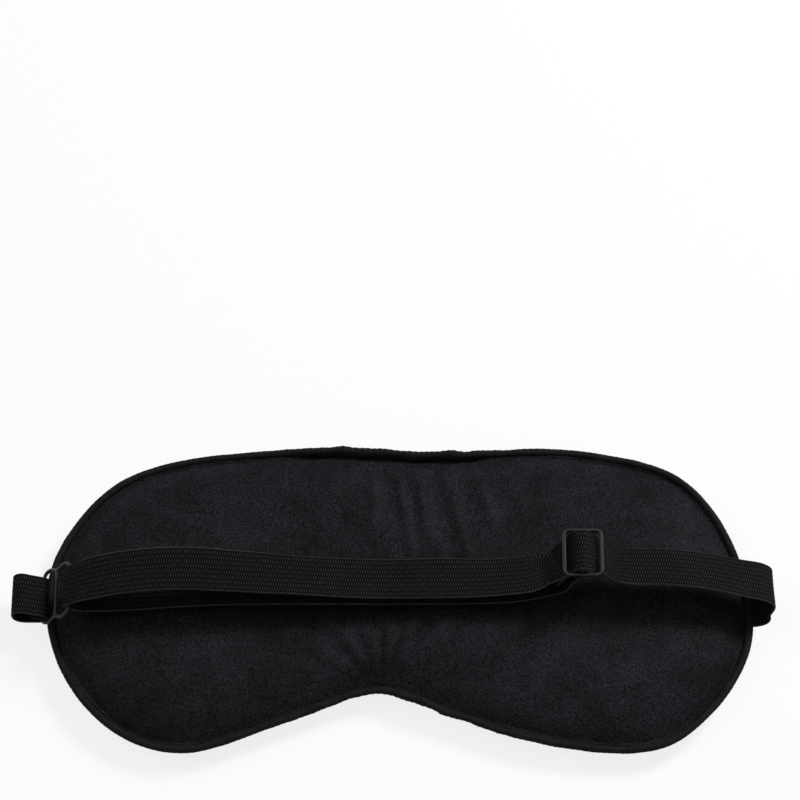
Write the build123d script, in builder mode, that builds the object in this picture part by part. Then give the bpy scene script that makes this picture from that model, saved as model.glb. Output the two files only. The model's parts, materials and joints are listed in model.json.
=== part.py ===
from build123d import *
import os
from math import cos, radians, sin, tan

# A padded two-eye sleep mask that lies on its outer face, with its elastic head strap on top.
# X runs along the width of the mask, +Y towards the brow and +Z from the outer face to the strap.
# The origin is on the flat underside, in the middle of the mask. All sizes are in millimetres.

# ---- Driving dimensions of the mask ----
mask_width = 206.0
brow_height = 49.5            # from the centre line up to the brow edge
cheek_depth = 48.0            # from the centre line down to the lowest point of the two lobes
front_rise = 5.5              # outer face below the seam
back_rise = 6.5               # face side above the seam
fabric_t = 0.5
blackout_t = 0.4
layer_gap = 0.3               # air between two sewn layers

# ---- Piping round the edge ----
piping_d = 2.2
piping_wall = 0.5             # the folded cover strip
piping_chamfer = 0.6
piping_cord_gap = 0.1
flange_width = 3.5            # the two sewn plies of the cover, inside the seam
flange_slit = 0.1             # between those two plies
seam_gap = 0.05               # between a panel's edge and the flange

# ---- Elastic ----
strap_width = 12.7
strap_t = 0.9
ply_gap = 0.1                 # between elastic and what it passes over or under

# ---- Figure-8 ring ----
wire_r = 0.55
middle_bar_r = wire_r - 0.05
ring_room = 1.6               # the ring's inside is this much longer than the strap is wide
ring_bar_spacing = 5.8
ring_corner = ring_room / 2 + wire_r
ring_tilt = 45.0              # the strap holds its far bar up
ring_fit = 0.1                # radial room between a bar and the elastic round it
ring_beyond = 1.2             # the tab's bar is this far outside the mask's left edge
ring_above = 2.8              # and this far above the seam
ring_y = -1.1

# ---- Slider ----
slider_room = 0.6             # the same for the slider's window
slider_breadth = 9.3 + 3 * strap_t
slider_side = 1.2
slider_end = 0.8
slider_t = 1.5
slider_corner = 2.2
slider_edge = 0.35
slider_bar_r = 0.65
slider_fit = 0.08             # radial room between the centre bar and the sewn loop
slider_share = 0.256          # its place to the right of the middle, as a share of mask_width
slider_y = 5.6
slider_above = 13.2           # above the face side's top

# ---- Stitches that close the sewn loop ----
stitch_rows = 2
stitches_in_row = 5
stitch_row_pitch = 1.6
stitch_pitch = 2.2
stitch_d = 0.35
stitch_from_bar = 8.0

flange_half = (flange_slit + 2 * piping_wall) / 2
seam_z = front_rise + seam_gap + flange_half
face_start = seam_z + flange_half + seam_gap
pad_top = face_start + back_rise
panel_inset = piping_d + layer_gap
band_r = strap_t / 2
edge_x = -mask_width / 2
right_x = mask_width / 2

# Outline as shares of the half width and of the brow height (above 0) or cheek depth (below 0),
# anticlockwise from the left edge: left lobe, nose notch, right lobe, and back along the brow.
outline_shares = [
    (-1.000, -0.17), (-0.956, -0.47), (-0.864, -0.75), (-0.738, -0.94), (-0.597, -1.00),
    (-0.437, -0.905), (-0.262, -0.76), (-0.135, -0.655), (-0.054, -0.612), (0.030, -0.655),
    (0.146, -0.77), (0.388, -0.94), (0.583, -1.00), (0.738, -0.965), (0.854, -0.79),
    (0.947, -0.54), (1.000, -0.21), (0.981, 0.16), (0.903, 0.535), (0.796, 0.79),
    (0.641, 0.935), (0.447, 0.995), (0.175, 0.970), (-0.194, 1.000), (-0.437, 0.972),
    (-0.650, 0.908), (-0.816, 0.757), (-0.922, 0.505), (-0.985, 0.22),
]

# How a panel curves in from the seam: (inset from the panel's edge, share of its rise).
dome_steps = [(0.0, 0.0), (1.7, 0.34), (6.5, 0.74), (14.0, 0.95), (22.0, 1.0)]
flat_steps = [(0.0, 0.0), (1.7, 0.38), (6.5, 0.82), (13.0, 1.0)]


def outline_points():
    """The mask's outer edge as points."""
    points = []
    for across, up in outline_shares:
        reach = brow_height if up > 0 else cheek_depth
        points.append(Vector(across * mask_width / 2, up * reach))
    return points


def inset_points(inset):
    """Every outline point moved inwards by inset, square to the edge there."""
    edge = outline_points()
    moved = []
    for i, point in enumerate(edge):
        along = (edge[(i + 1) % len(edge)] - edge[i - 1]).normalized()
        moved.append(point + Vector(-along.Y, along.X) * inset)
    return moved


def outline_face(inset, plane):
    """The mask's outline, moved in by inset, as a sketch on plane."""
    with BuildSketch(plane) as sketch:
        with BuildLine():
            Spline(*inset_points(inset), periodic=True)
        make_face()
    return sketch.sketch


def dome(steps, start_z, rise, inset):
    """A solid that rises from start_z by rise (down if negative), drawn in further at each step."""
    with BuildPart() as body:
        sections = []
        for step, share in steps:
            sections.append(outline_face(inset + step, Plane.XY.offset(start_z + share * rise)))
        loft(sections, ruled=True)
    return body.part


def edge_band(outer_inset, inner_inset, low, high):
    """A flat band that follows the mask's edge between two insets."""
    with BuildPart() as body:
        add(outline_face(outer_inset, Plane.XY.offset(low)))
        extrude(amount=high - low)
        add(outline_face(inner_inset, Plane.XY.offset(low)))
        extrude(amount=high - low, mode=Mode.SUBTRACT)
    return body.part


def strip_planes(stations, first=None, last=None):
    """A plane across the elastic at each station of x, y, z and roll in degrees.

    It is square to the line between the stations on either side. Roll above 0 lowers the -Y selvage.
    first and last are the directions at the two ends, where the elastic carries on as another piece.
    """
    points = [Vector(x, y, z) for x, y, z, roll in stations]
    planes = []
    for i, (x, y, z, roll) in enumerate(stations):
        along = (points[min(i + 1, len(points) - 1)] - points[max(i - 1, 0)]).normalized()
        if i == 0 and first:
            along = first
        if i == len(points) - 1 and last:
            along = last
        level = (Vector(0, 1, 0) - along * along.Y).normalized()
        upright = along.cross(level)
        across = level * cos(radians(roll)) + upright * sin(radians(roll))
        planes.append(Plane(origin=points[i], x_dir=across, z_dir=along))
    return planes


def strip(planes):
    """Elastic through the planes."""
    with BuildPart() as body:
        sections = []
        for plane in planes:
            with BuildSketch(plane) as section:
                Rectangle(strap_width, strap_t)
            sections.append(section.sketch)
        loft(sections, ruled=True)
    return body.part


def turned(radius, angle):
    """A vector of this length at this angle in the plane of X and Z."""
    return Vector(radius * cos(radians(angle)), radius * sin(radians(angle)))


def turned_along(direction):
    """A direction drawn in the plane of X and Z, as a direction in space."""
    return Vector(direction.X, 0, direction.Y)


def export(name, part):
    part.label = name
    export_step(part, f"parts/{name}.step")


os.makedirs("parts", exist_ok=True)

# ---- Mask: two fabric panels, what they enclose, and the piping in the seam between them ----

outer_start = seam_z - flange_half - seam_gap

with BuildPart() as back_panel:
    add(dome(dome_steps, face_start, back_rise, panel_inset))
    add(
        dome(dome_steps, face_start, back_rise - fabric_t, panel_inset + fabric_t),
        mode=Mode.SUBTRACT,
    )
export("back_panel", back_panel.part)

with BuildPart() as front_panel:
    add(dome(flat_steps, outer_start, -outer_start, panel_inset))
    add(
        dome(flat_steps, outer_start, fabric_t - outer_start, panel_inset + fabric_t),
        mode=Mode.SUBTRACT,
    )
export("front_panel", front_panel.part)

# The light-stopping layer lies against the inside of the front panel.
blackout_inset = panel_inset + fabric_t + layer_gap
blackout_low = fabric_t + layer_gap
with BuildPart() as blackout_layer:
    add(dome(flat_steps, outer_start, blackout_low - outer_start, blackout_inset))
    add(
        dome(
            flat_steps,
            outer_start,
            blackout_low + blackout_t - outer_start,
            blackout_inset + blackout_t,
        ),
        mode=Mode.SUBTRACT,
    )
export("blackout_layer", blackout_layer.part)

# The wadding fills the rest, inside the piping's flange.
wadding_inset = piping_d + flange_width + layer_gap
wadding_edge = 1.5            # how far its rounded edge stands above and below the seam
wadding_top = back_rise - fabric_t - layer_gap - wadding_edge + flange_half
wadding_bottom = seam_z - blackout_low - blackout_t - layer_gap - wadding_edge
with BuildPart() as padding:
    add(dome(dome_steps, seam_z + wadding_edge, wadding_top, wadding_inset))
    add(dome(flat_steps, seam_z - wadding_edge, -wadding_bottom, wadding_inset))
    add(outline_face(wadding_inset, Plane.XY.offset(seam_z - wadding_edge)))
    extrude(amount=2 * wadding_edge)
export("padding", padding.part)

slit_overrun = 1.0            # the slit is cut right through the flange's inner edge
cord_low = seam_z - piping_d / 2 + piping_wall
cord_high = seam_z + piping_d / 2 - piping_wall
with BuildPart() as piping_cover:
    add(edge_band(0, piping_d, seam_z - piping_d / 2, seam_z + piping_d / 2))
    rims = piping_cover.edges().filter_by(GeomType.BSPLINE)
    chamfer(rims.group_by(SortBy.LENGTH)[-1], length=piping_chamfer)
    add(edge_band(piping_d - piping_chamfer, piping_d + flange_width, seam_z - flange_half,
                  seam_z + flange_half))
    add(edge_band(piping_wall, piping_d - piping_wall, cord_low, cord_high), mode=Mode.SUBTRACT)
    add(edge_band(piping_d - 2 * piping_wall, piping_d + flange_width + slit_overrun,
                  seam_z - flange_slit / 2, seam_z + flange_slit / 2), mode=Mode.SUBTRACT)
export("piping_cover", piping_cover.part)

with BuildPart() as piping_cord:
    add(
        edge_band(
            piping_wall + piping_cord_gap,
            piping_d - piping_wall - piping_cord_gap,
            cord_low + piping_cord_gap,
            cord_high - piping_cord_gap,
        )
    )
export("piping_cord", piping_cord.part)

# ---- Left side: the sewn tab and the figure-8 ring that links it to the strap ----

ring_left = (edge_x - ring_beyond, seam_z + ring_above)
bar_wrap_r = wire_r + ring_fit + band_r
ring_plane = Plane.XZ.offset(-ring_y)
leg_rise = 24.0               # the tab's top ply falls towards the ring at this angle
tab_reach = 9.8
tab_bend = 2.9
tab_tail = 3.0
sewn_gap = 0.0024 * mask_width  # from the outline's corner points to the elastic

with BuildPart() as ring_tab:
    with BuildSketch(ring_plane):
        with BuildLine():
            top_of_bar = Vector(*ring_left) + turned(bar_wrap_r, 90 - leg_rise)
            outer_x = edge_x - tab_reach
            outer_z = top_of_bar.Y + (top_of_bar.X - outer_x) * tan(radians(leg_rise))
            FilletPolyline(
                (edge_x - sewn_gap, seam_z),
                (outer_x, seam_z),
                (outer_x, outer_z),
                (top_of_bar.X, top_of_bar.Y),
                radius=tab_bend,
            )
            wrap = CenterArc(ring_left, bar_wrap_r, 90 - leg_rise, -180)
            tail_end = wrap @ 1 + (wrap % 1) * tab_tail
            Line(wrap @ 1, tail_end)
        trace(line_width=strap_t)
    extrude(amount=strap_width / 2, both=True)
export("ring_tab", ring_tab.part)

ring_span = 2 * ring_bar_spacing
tilt_x = cos(radians(ring_tilt))
tilt_z = sin(radians(ring_tilt))
ring_right = (ring_left[0] + ring_span * tilt_x, ring_left[1] + ring_span * tilt_z)
ring_middle = ((ring_left[0] + ring_right[0]) / 2, ring_y, (ring_left[1] + ring_right[1]) / 2)
ring_half = (strap_width + ring_room) / 2 + wire_r

with BuildPart() as ring:
    flat = Plane(origin=ring_middle, x_dir=(tilt_x, 0, tilt_z), z_dir=(-tilt_z, 0, tilt_x))
    with BuildLine(flat) as loop:
        FilletPolyline(
            (-ring_bar_spacing, ring_half),
            (ring_bar_spacing, ring_half),
            (ring_bar_spacing, -ring_half),
            (-ring_bar_spacing, -ring_half),
            radius=ring_corner,
            close=True,
        )
    with BuildSketch(Plane(origin=loop.wire() @ 0, z_dir=loop.wire() % 0)):
        Circle(wire_r)
    sweep(path=loop.wire())
    with BuildSketch(Plane.XZ.offset(-ring_y)):
        with Locations((ring_middle[0], ring_middle[2])):
            Circle(middle_bar_r)
    extrude(amount=ring_half, both=True)
export("ring", ring.part)

# The strap turns round the ring's far bar: one ply leaves upwards, the other back under it.
upper_leg = 38.0
lower_leg = -30.0
leg_length = 4.0
with BuildPart() as strap_ring_turn:
    with BuildSketch(ring_plane):
        with BuildLine():
            turn = CenterArc(ring_right, bar_wrap_r, upper_leg + 90, lower_leg - upper_leg + 180)
            upper_end = turn @ 0 - (turn % 0) * leg_length
            lower_end = turn @ 1 + (turn % 1) * leg_length
            Line(upper_end, turn @ 0)
            Line(turn @ 1, lower_end)
        trace(line_width=strap_t)
    extrude(amount=strap_width / 2, both=True)
export("strap_ring_turn", strap_ring_turn.part)

# ---- The strap: one strip from the ring, through the slider, to the right edge ----

slider_x = slider_share * mask_width
slider_z = pad_top + slider_above
under_bar = slider_t / 2 + ply_gap + band_r
loop_r = slider_bar_r + slider_fit + band_r
over_bar = loop_r + strap_t + ply_gap
slider_half = slider_breadth / 2

outer_strap = [
    (upper_end.X, ring_y, upper_end.Y, 0),
    (edge_x + 11.6, -0.9, pad_top + 8.4, 4),
    (edge_x + 17.0, -0.3, pad_top + 10.2, 8),
    (-0.364 * mask_width, 0.7, pad_top + 11.9, 11),
    (-0.306 * mask_width, 1.1, pad_top + 12.4, 11),
    (-0.243 * mask_width, 1.3, pad_top + 10.4, 9),
    (-0.175 * mask_width, 1.3, pad_top + 8.1, 0),
    (-0.102 * mask_width, 1.2, pad_top + 6.0, -1),
    (-0.019 * mask_width, 1.2, pad_top + 4.6, -1),
    (0.058 * mask_width, 1.2, pad_top + 5.2, 0),
    (0.121 * mask_width, 1.5, pad_top + 4.8, -6),
    (0.160 * mask_width, 1.9, pad_top + 5.2, -8),
    (slider_x - 14.1, 2.5, pad_top + 5.9, -10),
    (slider_x - slider_half - 1.8, slider_y - 2.1, slider_z - 5.5, -16),
    (slider_x - slider_half + 1.6, slider_y, slider_z - under_bar - 0.2, 0),
    (slider_x - 2.2, slider_y, slider_z + over_bar - 1.0, 0),
    (slider_x - 0.9, slider_y, slider_z + over_bar, 0),
    (slider_x + 0.9, slider_y, slider_z + over_bar, 0),
    (slider_x + 2.2, slider_y, slider_z + over_bar - 1.0, 0),
    (slider_x + slider_half - 1.6, slider_y, slider_z - under_bar - 0.2, 0),
    (slider_x + slider_half + 1.8, slider_y - 1.3, slider_z - 4.0, -18),
    (0.321 * mask_width, 3.6, pad_top + 8.2, -12),
    (0.354 * mask_width, 3.3, pad_top + 8.6, -9),
    (0.388 * mask_width, 3.0, pad_top + 8.6, -9),
    (right_x - 16.0, 2.6, pad_top + 7.6, -10),
    (right_x - 9.0, 2.0, pad_top + 6.2, -9),
    (right_x - 2.6, 1.2, pad_top + 4.8, -7),
    (right_x + 1.6, 0.7, seam_z + 10.0, -5),
    (right_x + 4.2, 0.2, seam_z + 7.9, -3),
    (right_x + 5.7, -0.4, seam_z + 5.3, 0),
    (right_x + 5.5, -1.1, seam_z + 2.7, 0),
    (right_x + 3.4, -1.9, seam_z + 0.8, 0),
    (right_x + sewn_gap, -2.4, seam_z, 0),
]
pass_first = 13               # stations where the strap goes into and out of the slider
pass_last = 20
loop_first = 26               # and where it bends over to the right edge
outer_planes = strip_planes(outer_strap, first=turned_along(turn % 0) * -1, last=Vector(-1, 0, 0))

with BuildPart() as strap_upper_run:
    add(strip(outer_planes[: pass_first + 1]))
export("strap_upper_run", strap_upper_run.part)

with BuildPart() as strap_slider_pass:
    add(strip(outer_planes[pass_first : pass_last + 1]))
export("strap_slider_pass", strap_slider_pass.part)

with BuildPart() as strap_right_run:
    add(strip(outer_planes[pass_last : loop_first + 1]))
export("strap_right_run", strap_right_run.part)

with BuildPart() as strap_right_loop:
    add(strip(outer_planes[loop_first:]))
export("strap_right_loop", strap_right_loop.part)

# Under it the strip comes back from the ring and is sewn round the slider's centre bar.
loop_leg = 238.0              # direction of the loop's two plies, in degrees from +X towards +Z
loop_length = 11.5
tail_length = 11.0
with BuildPart() as strap_end_loop:
    with BuildSketch(Plane.XZ.offset(-slider_y)):
        with BuildLine():
            round_bar = CenterArc((slider_x, slider_z), loop_r, loop_leg - 90, -180)
            tail_tip = round_bar @ 0 - (round_bar % 0) * tail_length
            run_tip = round_bar @ 1 + (round_bar % 1) * loop_length
            Line(tail_tip, round_bar @ 0)
            Line(round_bar @ 1, run_tip)
        trace(line_width=strap_t)
    extrude(amount=strap_width / 2, both=True)
export("strap_end_loop", strap_end_loop.part)

leg_along = turned(1, loop_leg)
stitch_middle = Vector(slider_x, slider_z) + leg_along * stitch_from_bar
stitch_plane = Plane(
    origin=(stitch_middle.X, slider_y, stitch_middle.Y),
    x_dir=(0, 1, 0),
    z_dir=(-leg_along.Y, 0, leg_along.X),
)
with BuildPart() as loop_stitches:
    with BuildSketch(stitch_plane):
        with GridLocations(stitch_pitch, stitch_row_pitch, stitches_in_row, stitch_rows):
            Circle(stitch_d / 2)
    extrude(amount=loop_r - band_r, both=True)
export("loop_stitches", loop_stitches.part)

return_strap = [
    (lower_end.X, ring_y, lower_end.Y, 0),
    (edge_x + 13.0, -1.3, pad_top + 1.1, 0),
    (-0.388 * mask_width, -1.0, pad_top + 1.1, 0),
    (-0.291 * mask_width, 0.3, pad_top + 1.3, 0),
    (-0.175 * mask_width, 0.8, pad_top + 1.4, 0),
    (-0.049 * mask_width, 0.8, pad_top + 1.4, 0),
    (0.073 * mask_width, 0.8, pad_top + 1.4, 0),
    (0.146 * mask_width, 1.3, pad_top + 1.4, 0),
    (slider_x - 16.6, 2.2, pad_top + 1.4, 0),
    (slider_x - 10.6, 4.0, pad_top + 1.5, 0),
    (run_tip.X, slider_y, run_tip.Y, 0),
]
return_planes = strip_planes(
    return_strap, first=turned_along(turn % 1), last=turned_along(leg_along) * -1
)
with BuildPart() as strap_return_run:
    add(strip(return_planes))
export("strap_return_run", strap_return_run.part)

# ---- Slider: a moulded frame with a round centre bar ----

window_length = strap_width + slider_room
slider_length = window_length + 2 * slider_end
with BuildPart() as slider:
    with BuildSketch(Plane.XY.offset(slider_z - slider_t / 2)):
        with Locations((slider_x, slider_y)):
            RectangleRounded(slider_breadth, slider_length, slider_corner)
            RectangleRounded(
                slider_breadth - 2 * slider_side,
                window_length,
                slider_corner - slider_side,
                mode=Mode.SUBTRACT,
            )
    extrude(amount=slider_t)
    fillet(slider.edges().filter_by(Plane.XY), radius=slider_edge)
    with BuildSketch(Plane.XZ.offset(-slider_y)):
        with Locations((slider_x, slider_z)):
            Circle(slider_bar_r)
    extrude(amount=window_length / 2 + slider_end / 2, both=True)
export("slider", slider.part)
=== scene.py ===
"""A padded two-eye sleep mask, face side up, with a piped edge and an elastic head strap.

Lengths are in metres; mm turns a size in millimetres into metres. The elastic's stations and the
ring are worked out in millimetres and degrees. X runs along the mask, +Y to the brow and +Z up from
the outer face to the strap.
"""

import json
import math

import bpy
import numpy as np
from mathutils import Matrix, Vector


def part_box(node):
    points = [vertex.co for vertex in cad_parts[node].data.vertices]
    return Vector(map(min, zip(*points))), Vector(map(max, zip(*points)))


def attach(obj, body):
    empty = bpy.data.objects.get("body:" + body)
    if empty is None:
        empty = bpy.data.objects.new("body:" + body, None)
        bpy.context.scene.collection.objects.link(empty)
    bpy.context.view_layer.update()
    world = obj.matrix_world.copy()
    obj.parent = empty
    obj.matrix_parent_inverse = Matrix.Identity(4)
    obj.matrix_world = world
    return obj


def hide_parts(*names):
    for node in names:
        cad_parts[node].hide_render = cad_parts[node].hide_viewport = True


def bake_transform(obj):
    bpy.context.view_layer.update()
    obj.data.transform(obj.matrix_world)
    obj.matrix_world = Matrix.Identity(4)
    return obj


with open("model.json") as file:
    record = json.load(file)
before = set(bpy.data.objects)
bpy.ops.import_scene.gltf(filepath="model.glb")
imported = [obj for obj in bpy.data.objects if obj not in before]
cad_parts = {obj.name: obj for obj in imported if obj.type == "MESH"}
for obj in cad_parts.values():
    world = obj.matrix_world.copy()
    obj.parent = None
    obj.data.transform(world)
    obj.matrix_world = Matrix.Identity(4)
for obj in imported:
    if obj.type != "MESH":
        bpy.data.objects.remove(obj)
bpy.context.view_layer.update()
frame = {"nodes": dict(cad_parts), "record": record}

mm = 0.001
scene = bpy.context.scene

# ---- Sizes ----
seam_low, seam_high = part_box("piping_cover")
# The smooth outline bulges about this far past its outermost points.
outline_bulge = 0.33 * mm
half_width = (seam_high.x - seam_low.x) / 2 - outline_bulge
brow_height = seam_high.y
cheek_depth = -seam_low.y
seam_z = (seam_low.z + seam_high.z) / 2
piping_r = (seam_high.z - seam_low.z) / 2
pad_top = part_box("back_panel")[1].z
strap_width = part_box("ring_tab")[1].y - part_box("ring_tab")[0].y
strap_t = 0.9 * mm
strap_ribs = 9


# ---- Shared shape functions ----


def cubic(points, samples, closed=False):
    """Points evenly along a smooth cubic curve through the given points.

    The curve's second derivative is continuous at every point, and zero at open ends.
    """
    p = np.asarray(points, float)
    if closed:
        p = np.vstack([p, p[:1]])
    knots = np.concatenate([[0], np.cumsum(np.linalg.norm(np.diff(p[:, :3], axis=0), axis=1))])
    n, h = len(p) - 1, np.diff(knots)
    slope = np.diff(p, axis=0) / h[:, None]
    a, b = np.zeros((n + 1, n + 1)), np.zeros_like(p)
    for i in range(1, n):
        a[i, i - 1 : i + 2] = h[i - 1], 2 * (h[i - 1] + h[i]), h[i]
        b[i] = 6 * (slope[i] - slope[i - 1])
    if closed:
        a[0, [0, 1, n - 1]] = 2 * (h[0] + h[-1]), h[0], h[-1]
        b[0] = 6 * (slope[0] - slope[-1])
        a[n, [0, n]] = 1, -1
    else:
        a[0, 0] = a[n, n] = 1
    bend = np.linalg.solve(a, b)
    # The first pass, on a fine even parameter, gives the lengths that space the second.
    fine = np.linspace(0, knots[-1], 40 * n)
    for _ in range(2):
        i = np.clip(np.searchsorted(knots, fine, "right") - 1, 0, n - 1)
        t, w = (fine - knots[i])[:, None], h[i][:, None]
        u = w - t
        curve = (
            (bend[i] * u**3 + bend[i + 1] * t**3) / (6 * w)
            + (p[i] / w - bend[i] * w / 6) * u
            + (p[i + 1] / w - bend[i + 1] * w / 6) * t
        )
        if len(fine) == samples + closed:
            break
        run = np.linalg.norm(np.diff(curve[:, :3], axis=0), axis=1)
        run = np.concatenate([[0], np.cumsum(run)])
        fine = np.interp(np.linspace(0, run[-1], samples + closed), run, fine)
    return curve[:-1] if closed else curve


def grid_faces(rows, columns, wrap_rows=False, wrap_columns=False):
    """The quads of a grid of rows x columns vertices, numbered row by row."""
    i = np.arange(rows if wrap_rows else rows - 1)[:, None]
    j = np.arange(columns if wrap_columns else columns - 1)[None, :]
    i2, j2 = (i + 1) % rows, (j + 1) % columns
    quads = [i * columns + j, i * columns + j2, i2 * columns + j2, i2 * columns + j]
    return np.stack(quads, axis=-1).reshape(-1, 4)


def new_piece(name, points, faces, uv=None):
    """A smooth mesh object at the origin from points and faces; uv has one pair a point."""
    mesh = bpy.data.meshes.new(name)
    mesh.from_pydata(np.asarray(points).tolist(), [], [list(face) for face in faces])
    mesh.polygons.foreach_set("use_smooth", np.ones(len(mesh.polygons), bool))
    if uv is not None:
        corner = np.zeros(len(mesh.loops), int)
        mesh.loops.foreach_get("vertex_index", corner)
        layer = mesh.uv_layers.new(name="weave")
        layer.data.foreach_set("uv", np.asarray(uv, np.float32)[corner].ravel())
    mesh.update()
    piece = bpy.data.objects.new(name, mesh)
    scene.collection.objects.link(piece)
    return piece


def smooth_noise(x, y, cell, seed):
    """Soft random hills from -1 to 1, about one cell across: random heights, blended smoothly."""
    size = 64
    table = np.random.default_rng(seed).uniform(-1, 1, (size, size))
    gx, gy = x / cell, y / cell
    ix, iy = np.floor(gx).astype(int), np.floor(gy).astype(int)
    fx, fy = gx - ix, gy - iy
    fx, fy = fx * fx * (3 - 2 * fx), fy * fy * (3 - 2 * fy)

    def along_x(row):
        left, right = table[ix % size, row % size], table[(ix + 1) % size, row % size]
        return left * (1 - fx) + right * fx

    return along_x(iy) * (1 - fy) + along_x(iy + 1) * fy


# ---- The mask's outline and the padded body ----

# The outline's points as shares of the half width and of the brow's height or the cheek's depth.
outline_shares = [
    (-1.000, -0.17), (-0.956, -0.47), (-0.864, -0.75), (-0.738, -0.94), (-0.597, -1.00),
    (-0.437, -0.905), (-0.262, -0.76), (-0.135, -0.655), (-0.054, -0.612), (0.030, -0.668),
    (0.146, -0.77), (0.388, -0.94), (0.583, -1.00), (0.738, -0.965), (0.854, -0.79),
    (0.947, -0.54), (1.000, -0.21), (0.984, 0.17), (0.910, 0.560), (0.803, 0.812),
    (0.641, 0.935), (0.447, 0.995), (0.175, 0.970), (-0.194, 1.000), (-0.437, 0.972),
    (-0.650, 0.908), (-0.818, 0.760), (-0.927, 0.515), (-0.990, 0.25),
]


def outline(samples):
    """The edge of the mask, anticlockwise from the left, as points evenly along it."""
    points = [
        (across * half_width, up * (brow_height if up > 0 else cheek_depth))
        for across, up in outline_shares
    ]
    return cubic(points, samples, closed=True)


def inward(edge):
    """The direction square to a closed anticlockwise edge, towards its inside, at each point."""
    along = np.roll(edge, -1, axis=0) - np.roll(edge, 1, axis=0)
    along /= np.linalg.norm(along, axis=1)[:, None]
    return np.stack([-along[:, 1], along[:, 0]], axis=1)


edge_line = outline(720)
pad_inset = 1.5 * piping_r
pad_edge = edge_line + inward(edge_line) * pad_inset
# The pad stays low for this far from the seam.
groove = 0.5 * mm


def edge_distance(points, edge):
    """How far each point is from the nearest point of the edge."""
    gaps = np.linalg.norm(points[:, None, :] - edge[None, :, :], axis=2)
    return gaps.min(axis=1)


def pad_plan(columns, rows):
    """The plan of the pad as a grid.

    A square grid is drawn into a disc (each coordinate shortened by the other), and the disc's
    radius at each angle is stretched to the pad's edge as seen from a point between the lobes.
    """
    u, v = np.meshgrid(np.linspace(-1, 1, columns), np.linspace(-1, 1, rows), indexing="ij")
    disc_x, disc_y = u * np.sqrt(1 - v * v / 2), v * np.sqrt(1 - u * u / 2)
    radius = np.hypot(disc_x, disc_y).ravel()
    # The disc is as wide to its height as the mask is, so its angles fit the outline's.
    middle = np.array([0.0, 4 * mm])
    shape = np.array([half_width, (brow_height + cheek_depth) / 2])
    angle = np.arctan2(disc_y.ravel() * shape[1], disc_x.ravel() * shape[0])
    rim = pad_edge - middle
    rim_angle = np.arctan2(rim[:, 1], rim[:, 0])
    order = np.argsort(rim_angle)
    turns = np.concatenate([rim_angle[order] + turn for turn in (-2 * np.pi, 0, 2 * np.pi)])
    reach = np.tile(np.linalg.norm(rim, axis=1)[order], 3)
    far = np.interp(angle, turns, reach)
    return np.stack([np.cos(angle), np.sin(angle)], axis=1) * (radius * far)[:, None] + middle


def fold(away, along, height, width):
    """A rounded ridge over the distance from its line, which fades to nothing at both its ends.

    along is 0 at one end of the fold and 1 at the other. height and width are in millimetres.
    """
    return height * mm * np.exp(-((away / (width * mm)) ** 2)) * np.sin(np.pi * along)


def gathers(x, y):
    """The folds at the bridge of the nose: upright ones above it, and a fan from the notch."""
    folds = np.zeros_like(x)
    brow = 47
    # Upright folds: x at the brow, lean, top, bottom, height, width (mm).
    for at, lean, top, bottom, height, width in [
        (-9, 0.06, 47, 16, 1.045, 1.872),
        (-2, 0.16, 46, 8, 1.425, 1.584),
        (5, 0.10, 45, 14, 1.52, 1.728),
        (12, 0.22, 46, 4, 1.235, 1.872),
        (20, 0.30, 44, 18, 1.14, 1.728),
        (29, 0.34, 45, 24, 0.665, 2.16),
        (-19, -0.05, 46, 28, 0.665, 2.16),
    ]:
        line = (at + (brow - y / mm) * lean) * mm
        along = np.clip((y / mm - bottom) / (top - bottom), 0, 1)
        folds += fold(x - line, along, height, width)
    # The fan: angle in degrees from the notch, start, end, height, width halfway along (mm).
    notch = np.array([-5.0, -30.0]) * mm
    reach = np.hypot(x - notch[0], y - notch[1])
    turn = np.degrees(np.arctan2(y - notch[1], x - notch[0]))
    for angle, start, end, height, width in [
        (148, 4, 34, 1.10, 2.25),
        (126, 3, 30, 1.21, 2.10),
        (104, 4, 24, 1.10, 1.65),
        (84, 3, 26, 1.43, 1.65),
        (66, 4, 34, 1.76, 1.95),
        (48, 3, 38, 1.65, 2.10),
        (33, 5, 44, 1.32, 2.40),
        (20, 6, 40, 0.99, 2.40),
    ]:
        away = reach * np.sin(np.radians(np.clip(turn - angle, -90, 90)))
        along = np.clip((reach / mm - start) / (end - start), 0, 1)
        folds += fold(away, along, height, width * (0.5 + along))
    return folds


def pad_heights(plan):
    """The face side's height over the plan: a rounded edge, two lobes, a dip between, and lumps."""
    x, y = plan[:, 0], plan[:, 1]
    rounding = 24 * mm
    depth = np.clip((edge_distance(plan, pad_edge) - groove) / rounding, 0, 1)
    swell = (1 - (1 - depth) ** 2.6) ** 0.72
    lobes = 1 - 0.10 * np.exp(-((x / (24 * mm)) ** 2)) + 0.03 * np.cos(x / (32 * mm) * np.pi)
    lumps = 0.35 * smooth_noise(x, y, 19 * mm, 3) + 0.16 * smooth_noise(x, y, 8 * mm, 5)
    inside = np.clip(depth * 3, 0, 1)
    room_for_lumps = 0.5 * mm
    rise = pad_top - seam_z - room_for_lumps
    return seam_z + rise * swell * lobes + lumps * mm * inside


def pad_underside(plan):
    """The outer face: it curves down from the seam and lies flat on the surface under it."""
    rounding = 15 * mm
    depth = np.clip(edge_distance(plan, pad_edge) / rounding, 0, 1)
    swell = (1 - (1 - depth) ** 2.4) ** 0.8
    return seam_z * (1 - swell)


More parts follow.
